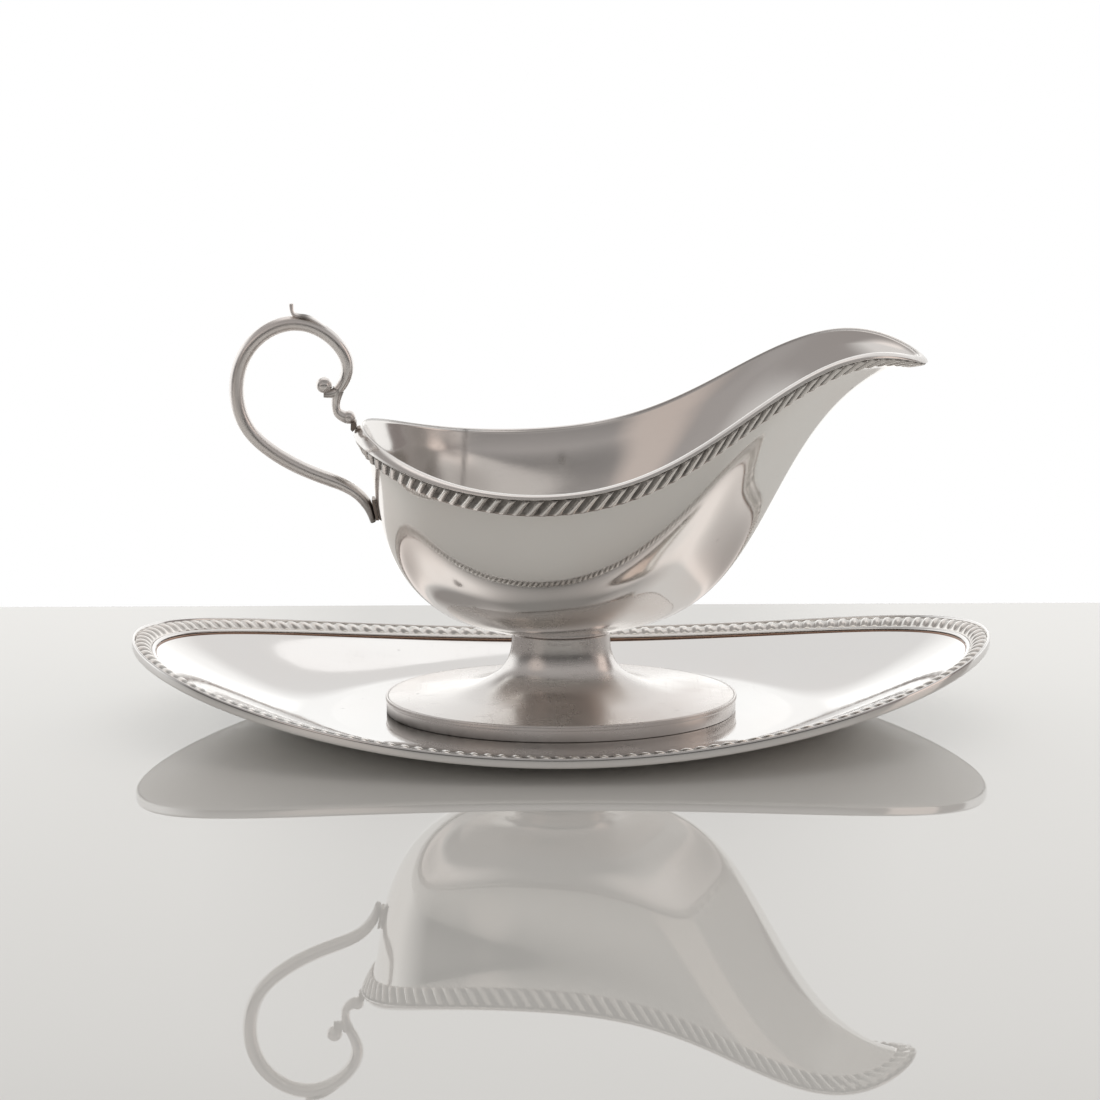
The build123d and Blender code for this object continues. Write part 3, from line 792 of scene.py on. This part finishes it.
def build_leaf():
    path = spline(LEAF_PATH, 60)
    share = np.linspace(0, 1, len(path))
    turn = round_angles(20)
    half_width = 1.9 * np.sin(pi * np.clip(share * 0.72 + 0.2, 0, 1)) ** 0.8
    grid = sweep(path, np.stack([np.cos(turn), np.sin(turn)], -1), half_width, 0.5 + 0.12 * share)
    dark = 0.9 * np.exp(-(((share - 0.6) / 0.12) ** 2))
    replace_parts(make_casting("leaf_thumb_rest", grid, dark[:, None]), "thumb_leaf")


def finish_joint_plates():
    """The two small soldered plates keep their CAD shape, with eased edges and tarnished metal."""
    for name in ("upper_joint_plate", "lower_joint_pad"):
        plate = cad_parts[name]
        plate.data.materials.clear()
        plate.data.materials.append(GRIMY)
        ease = plate.modifiers.new("eased_edges", "BEVEL")
        ease.width = 0.25 * MM
        ease.segments = 3


build_tray_dish()
build_tray_wall()
build_tray_rope()
build_tray_rail()
build_bowl()
build_lip()
build_rim_rope()
build_foot_band()
build_foot_trumpet()
build_neck_ring()
build_handle_bar()
build_handle_stem()
build_handle_knob("handle_knuckle", KNUCKLE_CENTRE, KNUCKLE_RADIUS, KNUCKLE_HALF_WIDTH)
build_handle_knob("handle_volute", VOLUTE_CENTRE, VOLUTE_RADIUS, VOLUTE_HALF_WIDTH)
build_leaf()
finish_joint_plates()


# ---------------------------------------------------------------- stage, light and camera
TABLE_HALF_WIDTH = 0.9
TABLE_FRONT = -1.1
TABLE_BACK = 0.126
TABLE_THICK = 0.012

# Radiance of each part of the studio, as a linear colour.
SEEN_DIRECTLY = (1.0, 1.0, 1.0, 1)
ROOM_LOW = (0.03, 0.03, 0.028, 1)
ROOM_MIDDLE = (0.43, 0.41, 0.40, 1)
ROOM_TOP = (0.30, 0.29, 0.28, 1)
ROOM_WINDOW = (0.64, 0.57, 0.53, 1)
BACKDROP_LOW = (1.12, 1.12, 1.11, 1)
BACKDROP_HIGH = (0.84, 0.83, 0.82, 1)
BACKDROP_WINGS = (1.50, 1.50, 1.48, 1)
OVERHEAD_EDGE = (1.15, 1.09, 1.06, 1)
OVERHEAD = (0.72, 0.68, 0.66, 1)
RIGHT_FLAG = (0.27, 0.24, 0.23, 1)
RIGHT_CARD = (0.95, 0.82, 0.75, 1)
LEFT_PANEL = (0.38, 0.36, 0.35, 1)
WINDOW_AIM = (-0.64, -0.71, 0.30)

LAMP_PLACE = (0.13, 0.73, 0.69)
LAMP_AIM = (0.0, 0.0, 0.04)
LAMP_SIZE = (0.28, 0.13)
LAMP_POWER = 0.035

SENSOR_WIDTH = 36.0
FOCAL_LENGTH = 144.6
CAMERA_PLACE = (-0.00295, -1.1981, 0.33506)
CAMERA_LOOKS_DOWN = 13.5
CAMERA_ROLL = -0.229


def build_table():
    slab = bpy.data.meshes.new("table")
    shape = bmesh.new()
    bmesh.ops.create_cube(shape, size=1.0)
    size = Vector((2 * TABLE_HALF_WIDTH, TABLE_BACK - TABLE_FRONT, TABLE_THICK))
    bmesh.ops.scale(shape, vec=size, verts=shape.verts)
    bmesh.ops.translate(shape, vec=(0, (TABLE_BACK + TABLE_FRONT) / 2, -TABLE_THICK / 2), verts=shape.verts)
    bmesh.ops.bevel(shape, geom=shape.edges[:], offset=0.001, segments=2, affect="EDGES")
    shape.to_mesh(slab)
    shape.free()
    slab.materials.append(glass_table())
    table = bpy.data.objects.new("table", slab)
    bpy.context.scene.collection.objects.link(table)


def room_colour(tree, direction, axes):
    """The dim room on the camera's side: dark low down, grey above, with one bright window on the left."""
    room = blend_colour(tree, remap(tree, axes["Z"], 0.0, 0.36), ROOM_LOW, ROOM_MIDDLE)
    room = blend_colour(tree, remap(tree, axes["Z"], 0.5, 0.85), room, ROOM_TOP)
    window = remap(tree, towards(tree, direction, WINDOW_AIM), 0.950, 0.992)
    return blend_colour(tree, window, room, ROOM_WINDOW)


def backdrop_colour(tree, axes):
    """The bright backdrop: brighter wings low down beside its middle, a warm edge round the overhead."""
    backdrop = blend_colour(tree, remap(tree, axes["Z"], 0.34, 0.44), BACKDROP_LOW, BACKDROP_HIGH)
    sideways = arithmetic(tree, "ABSOLUTE", axes["X"], 0.0)
    wings = arithmetic(tree, "MULTIPLY", remap(tree, sideways, 0.04, 0.08), remap(tree, sideways, 0.22, 0.14))
    wings = arithmetic(tree, "MULTIPLY", wings, remap(tree, axes["Z"], 0.35, 0.24))
    backdrop = blend_colour(tree, wings, backdrop, BACKDROP_WINGS)
    backdrop = blend_colour(tree, remap(tree, axes["Z"], 0.86, 0.90), backdrop, OVERHEAD_EDGE)
    return blend_colour(tree, remap(tree, axes["Z"], 0.93, 0.985), backdrop, OVERHEAD)


def with_side_panels(tree, axes, lit):
    """A dark flag and a warm card far to the right, and a grey panel high on the left."""
    right = remap(tree, axes["X"], 0.80, 0.86)
    flag = arithmetic(tree, "MULTIPLY", right, remap(tree, axes["Y"], 0.50, 0.42))
    lit = blend_colour(tree, flag, lit, RIGHT_FLAG)
    card = arithmetic(tree, "MULTIPLY", right, remap(tree, axes["Y"], 0.10, 0.06))
    card = arithmetic(tree, "MULTIPLY", card, remap(tree, axes["Y"], -0.34, -0.30))
    lit = blend_colour(tree, card, lit, RIGHT_CARD)
    left, high = remap(tree, axes["X"], -0.30, -0.50), remap(tree, axes["Z"], 0.42, 0.56)
    return blend_colour(tree, arithmetic(tree, "MULTIPLY", left, high), lit, LEFT_PANEL)


def build_world():
    """White where it is seen directly; a room and a backdrop light the object and are mirrored in it."""
    world = bpy.data.worlds.new("studio")
    world.use_nodes = True
    tree = world.node_tree
    direction = node(tree, "ShaderNodeTexCoord").outputs["Generated"]
    axes = node(tree, "ShaderNodeSeparateXYZ", {0: direction}).outputs
    behind = remap(tree, axes["Y"], -0.12, 0.36)
    lit = blend_colour(tree, behind, room_colour(tree, direction, axes), backdrop_colour(tree, axes))
    lit = with_side_panels(tree, axes, lit)
    seen = node(tree, "ShaderNodeLightPath").outputs["Is Camera Ray"]
    shown = blend_colour(tree, seen, lit, SEEN_DIRECTLY)
    tree.links.new(shown, tree.nodes["Background"].inputs["Color"])
    bpy.context.scene.world = world


def build_lamp():
    lamp = bpy.data.lights.new("overhead_softbox", "AREA")
    lamp.shape = "RECTANGLE"
    lamp.size, lamp.size_y = LAMP_SIZE
    lamp.energy = LAMP_POWER
    light = bpy.data.objects.new("overhead_softbox", lamp)
    light.location = LAMP_PLACE
    light.rotation_euler = (Vector(LAMP_AIM) - Vector(LAMP_PLACE)).to_track_quat("-Z", "Y").to_euler()
    bpy.context.scene.collection.objects.link(light)


def build_camera():
    lens = bpy.data.cameras.new("camera")
    lens.sensor_width = SENSOR_WIDTH
    lens.lens = FOCAL_LENGTH
    lens.clip_end = 20.0
    camera = bpy.data.objects.new("camera", lens)
    pitch = Matrix.Rotation(radians(90 - CAMERA_LOOKS_DOWN), 4, "X")
    roll = Matrix.Rotation(radians(CAMERA_ROLL), 4, "Z")
    camera.matrix_world = Matrix.Translation(CAMERA_PLACE) @ pitch @ roll
    bpy.context.scene.collection.objects.link(camera)
    bpy.context.scene.camera = camera


build_table()
build_world()
build_lamp()
build_camera()
bpy.context.scene.view_settings.view_transform = "Standard"
